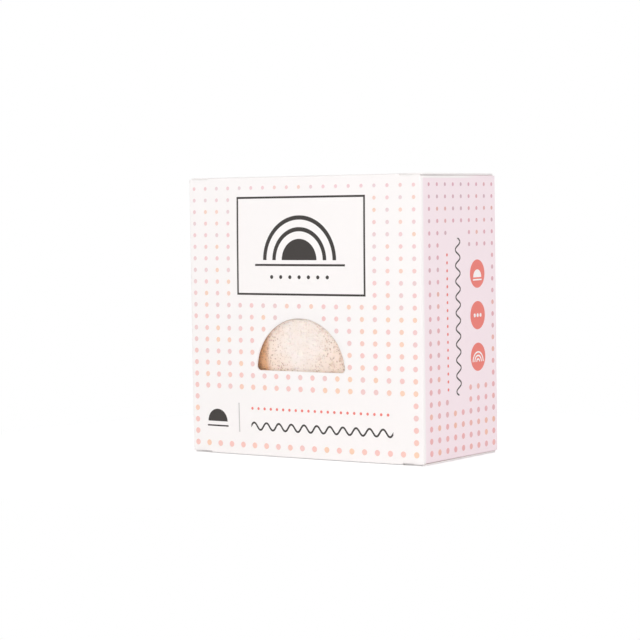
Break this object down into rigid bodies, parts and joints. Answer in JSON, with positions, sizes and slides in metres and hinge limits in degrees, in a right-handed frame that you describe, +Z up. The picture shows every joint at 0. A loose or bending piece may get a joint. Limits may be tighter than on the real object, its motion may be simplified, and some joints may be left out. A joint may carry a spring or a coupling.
{
  "type": "boxed konjac sponge",
  "caption": "Half-ball konjac sponge standing in a folded tuck-end carton with a half-moon display window; the lids, tuck flaps and dust flaps turn on creases.",
  "frame": {"origin": "middle of the carton's base, on the surface that it stands on", "axes": "+Z up, -Y towards the front panel with the window, +X towards the right side panel as seen from the front"},
  "size_m": [0.08, 0.04, 0.08],
  "materials": {
    "printed_board": "satin",
    "seam_glue": "satin",
    "sponge": "matte"
  },
  "bodies": {
    "sleeve": {"front_panel": "printed_board", "right_side_panel": "printed_board", "back_panel": "printed_board", "left_side_panel": "printed_board", "glue_flap": "printed_board", "seam_adhesive": "seam_glue"},
    "top_lid": {"top_lid": "printed_board"},
    "top_tuck_flap": {"top_tuck_flap": "printed_board"},
    "top_left_dust_flap": {"top_left_dust_flap": "printed_board"},
    "top_right_dust_flap": {"top_right_dust_flap": "printed_board"},
    "bottom_lid": {"bottom_lid": "printed_board"},
    "bottom_tuck_flap": {"bottom_tuck_flap": "printed_board"},
    "bottom_left_dust_flap": {"bottom_left_dust_flap": "printed_board"},
    "bottom_right_dust_flap": {"bottom_right_dust_flap": "printed_board"},
    "sponge": {"konjac_sponge": "sponge"}
  },
  "joints": [
    {"name": "top_lid_fold", "type": "hinge", "parent": "sleeve", "child": "top_lid", "pos_m": [0, 0.02, 0.08], "axis": [-1, 0, 0], "range_deg": [0, 110]},
    {"name": "top_tuck_fold", "type": "hinge", "parent": "top_lid", "child": "top_tuck_flap", "pos_m": [0, -0.01925, 0.08], "axis": [-1, 0, 0], "range_deg": [0, 22]},
    {"name": "top_left_dust_fold", "type": "hinge", "parent": "sleeve", "child": "top_left_dust_flap", "pos_m": [-0.04, 0, 0.0793], "axis": [0, -1, 0], "range_deg": [0, 82.5]},
    {"name": "top_right_dust_fold", "type": "hinge", "parent": "sleeve", "child": "top_right_dust_flap", "pos_m": [0.04, 0, 0.0793], "axis": [0, 1, 0], "range_deg": [0, 82.5]},
    {"name": "bottom_lid_fold", "type": "hinge", "parent": "sleeve", "child": "bottom_lid", "pos_m": [0, 0.02, 0], "axis": [1, 0, 0], "range_deg": [0, 110]},
    {"name": "bottom_tuck_fold", "type": "hinge", "parent": "bottom_lid", "child": "bottom_tuck_flap", "pos_m": [0, -0.01925, 0], "axis": [1, 0, 0], "range_deg": [0, 22]},
    {"name": "bottom_left_dust_fold", "type": "hinge", "parent": "sleeve", "child": "bottom_left_dust_flap", "pos_m": [-0.04, 0, 0.0007], "axis": [0, 1, 0], "range_deg": [0, 82.5]},
    {"name": "bottom_right_dust_fold", "type": "hinge", "parent": "sleeve", "child": "bottom_right_dust_flap", "pos_m": [0.04, 0, 0.0007], "axis": [0, -1, 0], "range_deg": [0, 82.5]},
    {"name": "sponge_lift", "type": "slide", "parent": "sleeve", "child": "sponge", "axis": [0, 0, 1], "range_m": [0, 0.0034]}
  ],
  "couplings": [
    {"joint": "top_tuck_fold", "follows": "top_lid_fold", "ratio": 0.2},
    {"joint": "top_left_dust_fold", "follows": "top_lid_fold", "ratio": 0.75},
    {"joint": "top_right_dust_fold", "follows": "top_lid_fold", "ratio": 0.75},
    {"joint": "bottom_tuck_fold", "follows": "bottom_lid_fold", "ratio": 0.2},
    {"joint": "bottom_left_dust_fold", "follows": "bottom_lid_fold", "ratio": 0.75},
    {"joint": "bottom_right_dust_fold", "follows": "bottom_lid_fold", "ratio": 0.75}
  ]
}
